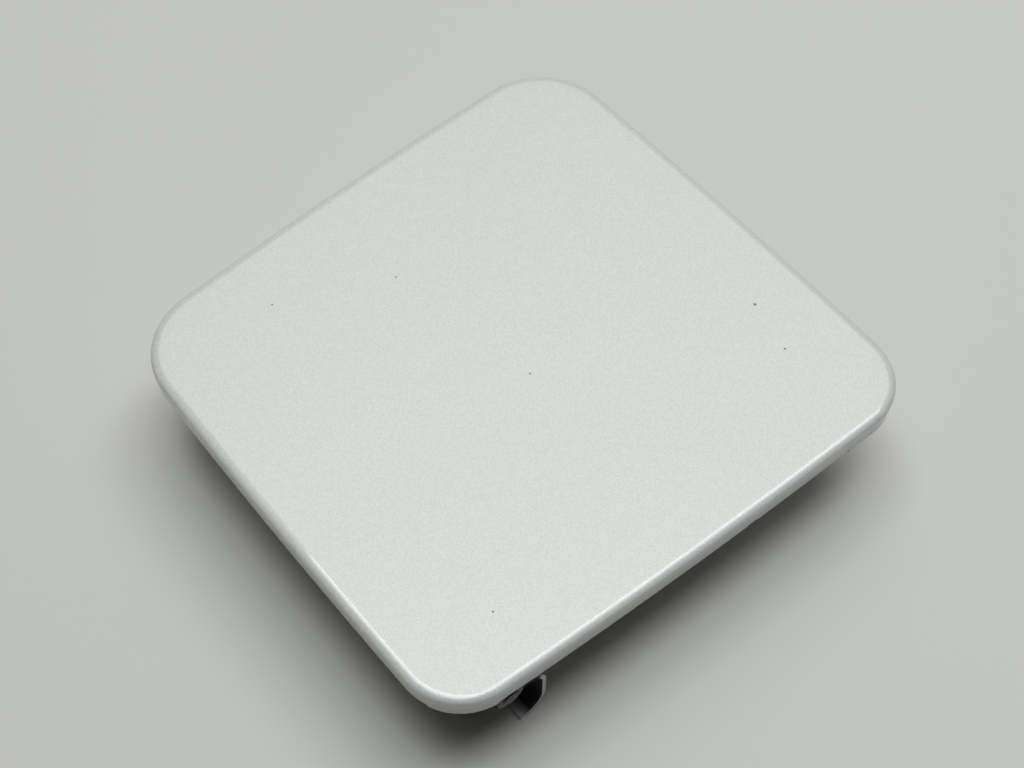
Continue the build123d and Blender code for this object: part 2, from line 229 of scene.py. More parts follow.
flange_shade_full_depth = 5.5
flake_contrast = 0.12
speck_spread = 1.6
pearl_warm = (0.690, 0.702, 0.674, 1)
pearl_cool = (0.684, 0.699, 0.694, 1)
dirt_colour = (0.09, 0.085, 0.08, 1)
dirt_specks = [
    (64.3, -31.7, 0.32), (60.2, -48.0, 0.26), (-0.8, -8.8, 0.22),
    (-9.6, 41.4, 0.2), (-42.8, 56.5, 0.2), (-53.8, -57.6, 0.2),
]


def blend(tree, share, first, second, **settings):
    """Colour between two others, by a share."""
    mix = add_node(tree, "ShaderNodeMix", {0: share, 6: first, 7: second}, data_type="RGBA", **settings)
    return mix.outputs[2]


def pearl_paint(name, cover, flange_shade_share=1.0, flake=0.28, specks=()):
    """Pearl white under clear coat, darkened down the flange by painted shade: flakes, a drift of tint, orange
    peel, specks.
    """
    material, tree, shader = new_finish(name)
    place = add_node(tree, "ShaderNodeTexCoord").outputs["Object"]
    tint = blend(tree, noise(tree, 14.0, 1.0), pearl_warm, pearl_cool)
    flakes = add_node(tree, "ShaderNodeTexVoronoi", {"Vector": place, "Scale": 1 / (flake * mm)})
    glint = add_node(tree, "ShaderNodeMapRange", {"Value": flakes.outputs["Color"],
                                                  "To Min": (1 - flake_contrast) * cover,
                                                  "To Max": (1 + flake_contrast) * cover})
    # Painted shade: the colour gets darker lower down the flange, by height.
    height = add_node(tree, "ShaderNodeSeparateXYZ", {0: place}).outputs["Z"]
    flange_shade = add_node(tree, "ShaderNodeMapRange", {"Value": height,
                                                  "From Min": (face_top - flange_shade_full_depth) * mm,
                                                  "From Max": (face_top - flange_shade_start_depth) * mm,
                                                  "To Min": flange_shade_share, "To Max": 1.0})
    flakes_and_flange_shade = add_node(tree, "ShaderNodeMath", {0: glint.outputs["Result"], 1: flange_shade.outputs["Result"]},
                      operation="MULTIPLY")
    colour = blend(tree, 1.0, tint, flakes_and_flange_shade.outputs[0], blend_type="MULTIPLY")
    for x, y, size in specks:
        spot = add_node(tree, "ShaderNodeVectorMath", {0: place, 1: Vector((x, y, face_top)) * mm},
                        operation="SUBTRACT")
        flat = add_node(tree, "ShaderNodeVectorMath", {0: spot.outputs[0], 1: (1, 1, 0)},
                        operation="MULTIPLY")
        away = add_node(tree, "ShaderNodeVectorMath", {0: flat.outputs[0]}, operation="LENGTH")
        dirt = add_node(tree, "ShaderNodeMapRange", {"Value": away.outputs["Value"], "From Min": size * mm,
                                                     "From Max": speck_spread * size * mm,
                                                     "To Min": 1.0, "To Max": 0.0})
        colour = blend(tree, dirt.outputs["Result"], colour, dirt_colour)
    tree.links.new(colour, shader.inputs["Base Color"])
    relief(tree, shader, noise(tree, 450.0, 1.0), strength=0.12, depth=0.02)
    shader.inputs["Metallic"].default_value = 0.06
    shader.inputs["Roughness"].default_value = 0.42
    shader.inputs["Coat Weight"].default_value = 1.0
    shader.inputs["Coat Roughness"].default_value = 0.06
    return material


def circle_through(a, b, c):
    """Centre and radius of the circle through three points, given as complex numbers."""
    w = (c - a) / (b - a)
    centre = a + (b - a) * (w - abs(w) ** 2) / (2j * w.imag)
    return centre, abs(centre - a)


def rounding_centre(first, second, radius, near):
    """Centre of the rounding inside two circles, at the crossing near a point."""
    reach_a = first[1] - radius
    reach_b = second[1] - radius
    apart = abs(second[0] - first[0])
    along = (reach_a ** 2 - reach_b ** 2 + apart ** 2) / (2 * apart)
    aside = math.sqrt(reach_a ** 2 - along ** 2)
    direction = (second[0] - first[0]) / apart
    crossings = [first[0] + direction * complex(along, s * aside) for s in (-1, 1)]
    return min(crossings, key=lambda p: abs(p - near))


def end_edge(x):
    """Half length of the flap at x, without the bow of its ends."""
    return flap_length / 2 - end_bow + x * side_taper


def flap_runs():
    """Four runs of arcs (centre, radius, start, stop) round the flap, each between two corners' middles."""
    x = half_width - side_bow
    near = end_edge(-x)
    far = end_edge(x)
    middle = flap_length / 2
    corners = [complex(x, -far), complex(x, far), complex(-x, near), complex(-x, -near)]
    bows = [complex(half_width), complex(0, middle), complex(-half_width), complex(0, -middle)]
    radii = [corner_high, corner_high, corner_low, corner_low]
    sides = [circle_through(corners[i], bows[i], corners[(i + 1) % 4]) for i in range(4)]
    arcs = []
    for i in range(4):
        side = sides[i]
        following = sides[(i + 1) % 4]
        centre = rounding_centre(side, following, radii[i], corners[(i + 1) % 4])
        start = cmath.phase(centre - side[0])
        turn = cmath.phase((centre - following[0]) / (centre - side[0]))
        arcs.append((centre, radii[i], start, start + turn))
    runs = []
    for i in range(4):
        before = arcs[i - 1]
        after = arcs[i]
        halfway = (before[2] + before[3]) / 2
        side_turn = cmath.phase(cmath.rect(1, after[2] - before[3]))
        runs.append([
            (before[0], before[1], halfway, before[3]),
            (sides[i][0], sides[i][1], before[3], before[3] + side_turn),
            (after[0], after[1], after[2], (after[2] + after[3]) / 2),
        ])
    return runs


def run_station(run, share):
    """Centre, radius and direction of the outline at a share of a run's length."""
    lengths = [radius * (stop - start) for _, radius, start, stop in run]
    left = share * sum(lengths)
    for (centre, radius, start, stop), length in zip(run, lengths):
        if left <= length + 1e-9:
            return centre, radius, start + left / radius
        left -= length


def outline_point(station, inset):
    centre, radius, angle = station
    return centre + cmath.rect(radius - inset, angle)


def crown(point):
    """Height of the crowned face over a point of the plan."""
    return face_top - abs(point) ** 2 / (2 * crown_radius)


# Lips, notches and curled edges along the four runs, as spans of y on the two sides and of x on the two ends
lips = [[(-48, 48)], [(-44, 52)], [(-44.5, 44.5)], [(-44, 16.2), (19.8, 52)]]
notches = [[(-50, -48), (48, 50)], [(52, 54)], [], [(16.2, 19.8), (52, 54)]]
curls = [[], [(-66, -44)], [(-64, -44.5), (44.5, 64)], [(-66, -44)]]
runs_along = [1, 0, 1, 0]


def position_along(station, run):
    point = outline_point(station, 0)
    return (point.real, point.imag)[runs_along[run]]


def snapped(stations, run, value):
    """Move the station nearest to a value along a run exactly onto it."""
    nearest = min(range(len(stations)), key=lambda j: abs(position_along(stations[j], run) - value))
    centre, radius, angle = stations[nearest]
    for _ in range(4):
        pace = 1j * cmath.rect(radius, angle)
        miss = value - position_along((centre, radius, angle), run)
        angle += miss / (pace.real, pace.imag)[runs_along[run]]
    stations[nearest] = (centre, radius, angle)


def inside(value, spans, slack=0.01):
    return any(low - slack <= value <= high + slack for low, high in spans)


def skin_profile(station, run):
    """Points from the start of the rounded edge down the flange and round the hem, as insets and levels."""
    edge = outline_point(station, edge_radius)
    outward = cmath.rect(1, station[2])
    lean = math.atan((edge * outward.conjugate()).real / crown_radius)
    first = math.atan(edge_radius / edge_depth * math.tan(lean))
    start = outline_point(station, edge_radius * (1 - math.sin(first)))
    centre_level = crown(start) - edge_depth * math.cos(first)
    points = []
    for k in range(edge_steps + 1):
        angle = first + (math.pi / 2 - first) * k / edge_steps
        points.append((edge_radius * (1 - math.sin(angle)), centre_level + edge_depth * math.cos(angle)))
    for share in flange_rows:
        points.append((0, centre_level + (notch_top - centre_level) * share))
    along = position_along(station, run)
    own_lips = [span for span in lips[run] if inside(along, [span])]
    for k in range(fold_steps + 1):
        bend = math.pi / 2 * k / fold_steps
        if own_lips or inside(along, curls[run]):
            inset = fold_radius * (1 - math.cos(bend))
            points.append((inset, fold_level + fold_radius * (1 - math.sin(bend))))
        else:
            points.append((0, fold_level + fold_radius * (1 - k / fold_steps)))
    width = hem_width
    for low, high in own_lips:
        from_end = min(along - low, high - along, lip_corner)
        width = hem_width - lip_corner + math.sqrt(max(0.0, lip_corner ** 2 - (lip_corner - from_end) ** 2))
    for share in (0.5, 1.0):
        points.append((fold_radius + (width - fold_radius) * share, fold_level))
    return points


def outer_skin():
    """Painted side of the panel as one sheet, from the middle of the face to the edges of the lips."""
    runs = flap_runs()
    sheet = bmesh.new()
    rings = [[sheet.verts.new(Vector((0, 0, face_top)) * mm)]]
    for k in range(1, face_rings):
        ring = []
        for run in runs:
            for j in range(2 * k):
                point = outline_point(run_station(run, j / (2 * k)), edge_radius) * k / face_rings
                ring.append(sheet.verts.new(Vector((point.real, point.imag, crown(point))) * mm))
        rings.append(ring)
    columns = []
    kinds = []
    for i, run in enumerate(runs):
        stations = [run_station(run, j / (2 * face_rings)) for j in range(2 * face_rings)]
        for span in notches[i]:
            for value in span:
                snapped(stations, i, value)
        following = stations[1:] + [run_station(run, 1.0)]
        for station, after in zip(stations, following):
            column = []
            for inset, level in skin_profile(station, i):
                point = outline_point(station, inset)
                column.append(sheet.verts.new(Vector((point.real, point.imag, level)) * mm))
            columns.append(column)
            middle = (position_along(station, i) + position_along(after, i)) / 2
            if inside(middle, notches[i], 0):
                kinds.append("notch")
            elif inside(middle, lips[i], 0):
                kinds.append("lip")
            else:
                kinds.append("plain")
    rings.append([column[0] for column in columns])
    for k in range(1, face_rings + 1):
        inner = rings[k - 1]
        outer = rings[k]
        for side in range(4):
            for j in range(2 * k):
                a = outer[side * 2 * k + j]
                b = outer[(side * 2 * k + j + 1) % len(outer)]
                if j == 0:
                    c = inner[(side * 2 * (k - 1)) % len(inner)]
                    corner_before = outer[side * 2 * k - 1]
                    sheet.faces.new((corner_before, a, b, c))
                elif j < 2 * k - 1:
                    c = inner[(side * 2 * (k - 1) + j) % len(inner)]
                    d = inner[(side * 2 * (k - 1) + j - 1) % len(inner)]
                    sheet.faces.new((a, b, c, d))
    for j, column in enumerate(columns):
        after = columns[(j + 1) % len(columns)]
        last = {"notch": notch_row, "plain": fold_row, "lip": len(column) - 1}[kinds[j]]
        for k in range(last):
            sheet.faces.new((column[k + 1], after[k + 1], after[k], column[k]))
    bmesh.ops.delete(sheet, geom=[v for v in sheet.verts if not v.link_faces], context="VERTS")
    return sheet


def settled(sheet, name, thickness=None, rounding=None, cutters=(), sharp=35.0):
    """Plain mesh of a sheet given its thickness, its holes and a small rounding along its cut edges."""
    mesh = bpy.data.meshes.new(name)
    sheet.to_mesh(mesh)
    sheet.free()
    rough = bpy.data.objects.new(name + "_rough", mesh)
    bpy.context.scene.collection.objects.link(rough)
    if thickness:
        wall = rough.modifiers.new("wall", "SOLIDIFY")
        wall.thickness = thickness * mm
        wall.offset = -1
        wall.use_even_offset = True
    for cutter in cutters:
        cut = rough.modifiers.new("cut", "BOOLEAN")
        cut.object = cutter
        cut.operation = "DIFFERENCE"
        cut.solver = "EXACT"
    if rounding:
        edge = rough.modifiers.new("edge", "BEVEL")
        edge.width = rounding * mm
        edge.segments = 2
        edge.limit_method = "ANGLE"
        edge.angle_limit = math.radians(55)
        edge.use_clamp_overlap = False
    view = bpy.context.evaluated_depsgraph_get()
    finished = bpy.data.meshes.new_from_object(rough.evaluated_get(view))
    finished.name = name
    bpy.data.objects.remove(rough)
    for cutter in cutters:
        bpy.data.objects.remove(cutter)
    finished.shade_smooth()
    finished.set_sharp_from_angle(angle=math.radians(sharp))
    return finished


def fit_piece(name, mesh, material, body, slot, *nodes):
    """Add a finished mesh with its finish, the body that it rides on and the nodes it stands for."""
    made = link_object(name, mesh, material)
    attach(made, body)
    if nodes:
        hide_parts(*nodes)
    return made


face_paint = pearl_paint("pearl_white_face", cover=1.0, flange_shade_share=0.62, specks=dirt_specks)
# The inside copy of the pearl paint is darker, for a thinner coat and as painted shade for the dim underside.
inside_paint_with_shade = pearl_paint("pearl_white_inside_shaded", cover=0.7)
skin_mesh = settled(outer_skin(), "painted_skin", thickness=skin)
fit_piece("painted_skin", skin_mesh, face_paint, "flap", "body_paint", "outer_panel")

# Inner panel: a second steel pressing that lies on the hem lips and stiffens the skin.
# Two fields are swaged up into it, each with a long window; small drain holes lie near the hinge.
panel_under = fold_level + skin
panel_sheet = 0.8
panel_inset = 1.2
field_rise = 3.4
field_spread = 4.5
field_radius = 12.0
field_land = 20.0
field_outset = 1.0
swage_steps = 10
outline_steps = 40
field_start = -40.0
field_finish = 50.0
rib_half = 15.0
window_length = 46.0
window_width = 17.0
drain_x = -43.0
drain_radius = 2.5
bumper_low, bumper_high = (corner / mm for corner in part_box("bumper_high"))
bumper_x = (bumper_low.x + bumper_high.x) / 2
bumper_y = (bumper_low.y + bumper_high.y) / 2
stem_radius = 2.6
rivet_low, rivet_high = (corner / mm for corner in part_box("striker_rivets"))
striker_rivet_x = (rivet_low.x + rivet_high.x) / 2
rivet_head_radius = (rivet_high.x - rivet_low.x) / 2
striker_rivet_y = rivet_high.y - rivet_head_radius
rivet_radius = 1.6


def rounded_path(corners, closed=True, steps=10):
    """Points along straight runs whose corners (x, y, radius) are rounded."""
    points = []
    for i, (x, y, radius) in enumerate(corners):
        here = complex(x, y)
        ends = not closed and i in (0, len(corners) - 1)
        if ends or radius == 0:
            points.append(here)
            continue
        back = complex(*corners[i - 1][:2]) - here
        ahead = complex(*corners[(i + 1) % len(corners)][:2]) - here
        half = abs(cmath.phase(ahead / back)) / 2
        middle = back / abs(back) + ahead / abs(ahead)
        centre = here + middle / abs(middle) * radius / math.sin(half)
        start = here + back / abs(back) * radius / math.tan(half) - centre
        stop = here + ahead / abs(ahead) * radius / math.tan(half) - centre
        turn = cmath.phase(stop / start)
        points.extend(centre + start * cmath.rect(1, turn * k / steps) for k in range(steps + 1))
    return points


def circle(centre, radius, steps=40):
    return [centre + cmath.rect(radius, 2 * math.pi * k / steps) for k in range(steps)]


def encloses(loop, point):
    """True where a closed loop goes round a point."""
    turn = 0.0
    for a, b in zip(loop, loop[1:] + loop[:1]):
        turn += cmath.phase((b - point) / (a - point))
    return abs(turn) > math.pi


def flat_pattern(sheet, outline, holes, rings=(), level=0.0):
    """Blank of a pressing, seen from below: an outline with holes, and rings of points at set levels."""
    loops = [(outline, level)] + [(loop, height) for loop, height in rings]
    loops += [(loop, height) for loop, height in holes]
    points = []
    levels = []
    edges = []
    for loop, height in loops:
        first = len(points)
        points.extend(Vector((p.real, p.imag)) for p in loop)
        levels.extend([height] * len(loop))
        edges.extend((first + k, first + (k + 1) % len(loop)) for k in range(len(loop)))
    made, _, faces, origins, _, _ = delaunay_2d_cdt(points, edges, [], 1, 1e-6)
    verts = [
        sheet.verts.new(Vector((p.x, p.y, levels[origin[0]])) * mm)
        for p, origin in zip(made, origins)
    ]
    for face in faces:
        middle = sum((complex(*made[k]) for k in face), 0j) / len(face)
        if encloses(outline, middle) and not any(encloses(loop, middle) for loop, _ in holes):
            sheet.faces.new([verts[k] for k in reversed(face)])
    bmesh.ops.delete(sheet, geom=[v for v in sheet.verts if not v.link_faces], context="VERTS")


def both_ends(loop):
    """A loop at the high end and its mirror image at the low end."""
    return loop, [p.conjugate() for p in reversed(loop)]


def field_loop(grow):
    """Outline of one swaged field, grown sideways."""
    corners = [
        (field_start - grow, rib_half - grow, field_radius + grow),
        (field_finish + grow, rib_half - grow, field_radius + grow),
        (field_finish + grow, end_edge(field_finish) - field_land + grow, field_radius + grow),
        (field_start - grow, end_edge(field_start) - field_land + grow, field_radius + grow),
    ]
    return rounded_path(corners)


def inner_pressing():
    sheet = bmesh.new()
    outline = [
        outline_point(run_station(run, j / outline_steps), panel_inset)
        for run in flap_runs()
        for j in range(outline_steps)
    ]
    rings = []
    for k in range(-1, swage_steps + 2):
        share = min(max(k / swage_steps, 0), 1)
        level = panel_under + field_rise * (1 - math.cos(math.pi * share)) / 2
        for loop in both_ends(field_loop(field_outset - field_spread * k / swage_steps)):
            rings.append((loop, level))
    window_x = (field_start + field_finish) / 2
    window_y = (rib_half + end_edge(window_x) - field_land) / 2
    half_long = window_length / 2
    half_wide = window_width / 2
    end_radius = half_wide - 0.01
    window = rounded_path([
        (window_x - half_long, window_y - half_wide, end_radius),
        (window_x + half_long, window_y - half_wide, end_radius),
        (window_x + half_long, window_y + half_wide, end_radius),
        (window_x - half_long, window_y + half_wide, end_radius),
    ])
    drain = circle(complex(drain_x, end_edge(drain_x) - field_land / 2), drain_radius)
    stem = circle(complex(bumper_x, bumper_y), stem_radius)
    rivet = circle(complex(striker_rivet_x, striker_rivet_y), rivet_radius)
    holes = [(one, panel_under + field_rise) for one in both_ends(window)]
    for loop in (drain, stem, rivet):
        holes.extend((one, panel_under) for one in both_ends(loop))
    flat_pattern(sheet, outline, holes, rings, panel_under)
    return sheet


inner_mesh = settled(inner_pressing(), "inner_pressing", thickness=panel_sheet)
fit_piece("inner_pressing", inner_mesh, inside_paint_with_shade, "flap", "body_paint", "inner_panel")

# Hinge lugs: two bent steel ears, spot welded to the inner panel and painted with it.
# Their lower edges are the cams that the leaf springs press on.
lug_edge = 0.25
lug_sheet = 1.5
weld_radius = 2.4
weld_rise = 0.12
weld_root = 0.3
weld_from_edge = (4.0, 11.0)
weld_from_side = 5.0


def eased_copy(node, rounding):
    """Copy of a CAD node with its faces made whole and its sharp edges rounded."""
    solid = bmesh.new()
    solid.from_mesh(frame["nodes"][node].data)
    bmesh.ops.remove_doubles(solid, verts=solid.verts, dist=0.001 * mm)
    bmesh.ops.dissolve_limit(solid, angle_limit=math.radians(1), verts=solid.verts, edges=solid.edges)
    sharp = [e for e in solid.edges if e.is_manifold and e.calc_face_angle() > math.radians(40)]
    bmesh.ops.bevel(solid, geom=sharp, offset=rounding * mm, segments=2, profile=0.5, affect="EDGES",
                    clamp_overlap=True)
    return solid


def turned(profile, place, axis, steps=48):
    """Turned solid: a profile of radii and distances along an axis, from pole to pole or closed on itself."""
    solid = bmesh.new()
    turn = Vector((0, 0, 1)).rotation_difference(Vector(axis)).to_matrix()
    rings = []
    for radius, along in profile:
        ring = []
        for k in range(steps):
            spoke = cmath.rect(radius, 2 * math.pi * k / steps)
            point = Vector(place) + turn @ Vector((spoke.real, spoke.imag, along))
            ring.append(solid.verts.new(point * mm))
        rings.append(ring)
    closed = profile[0][0] > 0
    following = rings[1:] + rings[:1] if closed else rings[1:]
    for inner, outer in zip(rings, following):
        for k in range(steps):
            solid.faces.new((inner[k], inner[(k + 1) % steps], outer[(k + 1) % steps], outer[k]))
    bmesh.ops.remove_doubles(solid, verts=solid.verts, dist=0.0005 * mm)
    bmesh.ops.recalc_face_normals(solid, faces=solid.faces)
    return solid


def set_on_points_tree():
    """Geometry nodes that set one turned part on every point, as separate solids of one mesh."""
    tree = bpy.data.node_groups.new("set_on_points", "GeometryNodeTree")
    tree.interface.new_socket("Points", in_out="INPUT", socket_type="NodeSocketGeometry")
    tree.interface.new_socket("Part", in_out="INPUT", socket_type="NodeSocketObject")
    tree.interface.new_socket("Finish", in_out="INPUT", socket_type="NodeSocketMaterial")
    tree.interface.new_socket("Parts", in_out="OUTPUT", socket_type="NodeSocketGeometry")
    given = add_node(tree, "NodeGroupInput")
    part = add_node(tree, "GeometryNodeObjectInfo", {"Object": given.outputs["Part"]})
    placed = add_node(tree, "GeometryNodeInstanceOnPoints",
                      {"Points": given.outputs["Points"], "Instance": part.outputs["Geometry"]})
    real = add_node(tree, "GeometryNodeRealizeInstances", {"Geometry": placed.outputs["Instances"]})
    finished = add_node(tree, "GeometryNodeSetMaterial",
                        {"Geometry": real.outputs["Geometry"], "Material": given.outputs["Finish"]})
    add_node(tree, "NodeGroupOutput", {"Parts": finished.outputs["Geometry"]})
    return tree


set_on_points = set_on_points_tree()


def set_parts(name, solid, places, material):
    """Mesh of equal parts, one on each place."""
    part_mesh = settled(solid, name + "_part")
    part = link_object(name + "_part", part_mesh, material)
    points_mesh = bpy.data.meshes.new(name + "_places")
    points_mesh.from_pydata([Vector(place) * mm for place in places], [], [])
    points = link_object(name + "_places", points_mesh, material)
    setter = points.modifiers.new("set_on_points", "NODES")
    setter.node_group = set_on_points
    sockets = {item.name: item.identifier for item in set_on_points.interface.items_tree}
    setter[sockets["Part"]] = part
    setter[sockets["Finish"]] = material
    view = bpy.context.evaluated_depsgraph_get()
    mesh = bpy.data.meshes.new_from_object(points.evaluated_get(view))
    mesh.name = name
    bpy.data.objects.remove(points)
    bpy.data.objects.remove(part)
    mesh.materials.clear()
    return mesh


weld_places = []
for node in ("lug_low", "lug_high"):
    ear_mesh = settled(eased_copy(node, lug_edge), node + "_ear")
    fit_piece(node + "_ear", ear_mesh, inside_paint_with_shade, "flap", "body_paint", node)
    low, high = (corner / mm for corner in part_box(node))
    weld_y = min(abs(low.y), abs(high.y)) + weld_from_side
    for inset in weld_from_edge:
        weld_places.append((high.x - inset, math.copysign(weld_y, low.y), panel_under - lug_sheet))
weld_profile = [
    (0, 0.02),
    (weld_radius * 0.6, 0),
    (weld_radius * 0.85, weld_rise),
    (weld_radius, 0),
    (weld_radius, -weld_root),
    (0, -weld_root),
]
weld = turned(weld_profile, (0, 0, 0), (0, 0, -1))
weld_mesh = set_parts("lug_welds", weld, weld_places, inside_paint_with_shade)
fit_piece("lug_welds", weld_mesh, inside_paint_with_shade, "flap", "body_paint")

# Hinge bracket: one steel pressing that stays on the car, painted body colour.
# A base with two screw holes carries two C-shaped necks with rolled eyes and a lanced tab, which stops
# the open flap. The spray hardly reaches into the necks, so dark primer shows there, and this dark primer is
# also painted shade: darkest deep in each hollow and on the ends of the eyes.
bracket_sheet = 1.4
bracket_edge = 0.2
pin = [value / mm for value in frame["joints"][0]["pos_m"]]
pin_x = pin[0]
pin_z = pin[2]
eye_bore = 3.62
neck_width = 22.0
neck_reach = 13.2
neck_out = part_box("hinge_bracket")[1].y / mm
neck_in = neck_out - neck_width
upright_x = pin_x + neck_reach
bend_top = 7.0
bend_foot = 8.0
toe_length = 0.8
toe_corner = 0.8
curl_stop = 38.0
curl_steps = 48
base_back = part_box("hinge_bracket")[0].x / mm
base_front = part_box("hinge_bracket")[1].x / mm
base_gap = 1.2
base_half = neck_in - base_gap
base_corner = 3.0
inner_corner = 0.5
flare_width = 12.0
flare = neck_in + flare_width
bolt = frame["record"]["mounts"][0]
bolt_x = bolt["pos_m"][0] / mm
bolt_y = bolt["dims"]["spacing_y_mm"] / 2
bolt_radius = bolt["dims"]["hole_r_mm"]
leaf_rivet_low, leaf_rivet_high = (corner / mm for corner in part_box("leaf_rivets"))
leaf_rivet_x = (leaf_rivet_low.x + leaf_rivet_high.x) / 2
leaf_rivet_y = leaf_rivet_high.y - rivet_head_radius
tab_behind_pin = 0.97
tab_face = pin_x - tab_behind_pin
tab_half = 9.0
tab_height = 9.5
tab_bend = 2.4
tab_window = 8.1
# Painted shade inside the necks: the colour goes from the lighter thin paint at the toe to the dark primer over
# this reach.
spray_and_shade_reach = 4.0
eye_stop = 2.0
thin_paint_and_light_colour = (0.5, 0.5, 0.485, 1)
primer_shade_colour = (0.022, 0.022, 0.023, 1)


def sheet_rows(sheet, path, columns):
    """Bent strip: a path in X and Z, with columns at each y, which may vary along the path."""
    rows = []
    for k, point in enumerate(path):
        across = columns(k) if callable(columns) else columns
        rows.append([sheet.verts.new(Vector((point.real, y, point.imag)) * mm) for y in across])
    for row, after in zip(rows, rows[1:]):
        for a, b, c, d in zip(row, row[1:], after[1:], after):
            sheet.faces.new((a, b, c, d))


def neck_path():
    """Outer side of a neck, from the foot up round the C and into the bore of the rolled eye."""
    strip_top = pin_z - eye_bore
    foot = upright_x - bend_foot
    path = rounded_path([
        (foot - bend_foot, 0, 0),
        (upright_x, 0, bend_foot),
        (upright_x, strip_top, bend_top),
        (pin_x, strip_top, 0),
    ], closed=False, steps=16)[1:]
    sweep = 360 - (90 - curl_stop)
    for k in range(1, curl_steps + 1):
        angle = math.radians(-90 - sweep * k / curl_steps)
        path.append(complex(pin_x, pin_z) + cmath.rect(eye_bore, angle))
    return path


def bracket_pressing():
    sheet = bmesh.new()
    foot = upright_x - bend_foot
    toe = foot - toe_length
    across = [neck_in, neck_in + 6, flare, flare + 5, neck_out]
    high_edge = [
        (base_front, 0, 0),
        (base_front, base_half, base_corner),
        (foot, base_half, inner_corner),
        *[(foot, y, 0) for y in across],
        (toe, neck_out, 0),
        (toe, flare, toe_corner),
        (base_back, flare, base_corner),
    ]
    low_edge = [(x, -y, r) for x, y, r in reversed(high_edge[1:])]
    outline = rounded_path(high_edge + low_edge)
    window_back = tab_face - tab_bend
    window = [
        complex(window_back, -tab_half), complex(tab_face + tab_window, -tab_half),
        complex(tab_face + tab_window, tab_half), complex(window_back, tab_half), complex(window_back, 0),
    ]
    bolt_hole = circle(complex(bolt_x, bolt_y), bolt_radius)
    rivet_hole = circle(complex(leaf_rivet_x, leaf_rivet_y), rivet_radius)
    holes = [(loop, 0) for loop in (window, *both_ends(bolt_hole), *both_ends(rivet_hole))]
    flat_pattern(sheet, outline, holes)
    path = neck_path()
    sheet_rows(sheet, path, across)
    sheet_rows(sheet, path, [-y for y in reversed(across)])
    tab_corners = [(window_back, 0, 0), (tab_face, 0, tab_bend - 0.01), (tab_face, tab_height, 0)]
    tab = rounded_path(tab_corners, closed=False)
    tab = tab[:-1] + [complex(tab_face, tab_height - rest) for rest in (3.0, 1.8, 0.8, 0.2, 0)]

    def tab_columns(k):
        rest = min(base_corner, tab_height - tab[k].imag)
        half = tab_half - base_corner + math.sqrt(base_corner ** 2 - (base_corner - rest) ** 2)
        return [-half, 0, half]

    sheet_rows(sheet, tab, tab_columns)
    bmesh.ops.remove_doubles(sheet, verts=sheet.verts, dist=0.02 * mm)
    bmesh.ops.recalc_face_normals(sheet, faces=sheet.faces)
    lowest_face = min(sheet.faces, key=lambda f: f.calc_center_median().z)
    if lowest_face.normal.z > 0:
        bmesh.ops.reverse_faces(sheet, faces=sheet.faces)
    return sheet


def primer_with_painted_shade():
    """Dark primer that the spray covers only near the mouth of a neck, and painted shade: darkest deep in the
    hollow, lighter near the toe.
    """
    material, tree, shader = new_finish("neck_hollow_primer_painted_shade")
    place = add_node(tree, "ShaderNodeTexCoord").outputs["Object"]
    along = add_node(tree, "ShaderNodeSeparateXYZ", {0: place})
    inward = add_node(tree, "ShaderNodeMath", {0: along.outputs["X"], 1: along.outputs["Z"]},
                      operation="ADD")
    toe = (upright_x - bend_foot - toe_length + bracket_sheet) * mm
    depth = add_node(tree, "ShaderNodeMapRange", {"Value": inward.outputs[0], "From Min": toe,
                                                  "From Max": toe + spray_and_shade_reach * mm})
    colour = blend(tree, depth.outputs["Result"], thin_paint_and_light_colour, primer_shade_colour)
    tree.links.new(colour, shader.inputs["Base Color"])
    shader.inputs["Roughness"].default_value = 0.8
    shader.inputs["Specular IOR Level"].default_value = 0.15
    return material


def mark_shaded_hollows(mesh):
    """Give the dark primer finish, which is painted shade, to the faces that look into the hollow of a neck, and
    to the ends of its eye.
    """
    centre = complex(upright_x - bend_foot, (pin_z - eye_bore) / 2)
    toe = upright_x - bend_foot - toe_length
    eye_foot = pin_z - eye_bore - bracket_sheet
    for face in mesh.polygons:
        middle = face.center / mm
        inward = centre - complex(middle.x, middle.z)
        looks_in = inward.real * face.normal.x + inward.imag * face.normal.z > 0
        looks_out = abs(face.normal.y) > 0.5
        in_shaded_hollow = looks_in and not looks_out and middle.x > toe and middle.z < pin_z - eye_bore
        eye_end_in_shade = looks_out and middle.x < upright_x - eye_stop and middle.z > eye_foot - eye_stop
        # Painted shade: these faces in the hollow and at the eye ends get the dark primer.
        if abs(middle.y) > neck_in and (in_shaded_hollow or eye_end_in_shade):
            face.material_index = 1


bracket_mesh = settled(bracket_pressing(), "bracket_pressing", bracket_sheet, bracket_edge)
fit_piece("bracket_pressing", bracket_mesh, inside_paint_with_shade, "bracket", "body_paint", "hinge_bracket")
bracket_mesh.materials.append(primer_with_painted_shade())
mark_shaded_hollows(bracket_mesh)

# Bushes: moulded black plastic tubes pressed into the rolled eyes, with a collar beside each lug.
# The pin turns in them.
bush_bore = 2.55
bush_radius = 3.6
collar_radius = 4.35
collar_length = 4.0
bush_edge = 0.3


def shaded(tree, shader, pattern, dark, light):
    """Base colour that follows a pattern."""
    tree.links.new(blend(tree, pattern, dark, light), shader.inputs["Base Color"])


def dulled(tree, shader, pattern, least, most):
    """Roughness that follows a pattern."""
    spread = add_node(tree, "ShaderNodeMapRange", {"Value": pattern, "To Min": least, "To Max": most})
    tree.links.new(spread.outputs["Result"], shader.inputs["Roughness"])


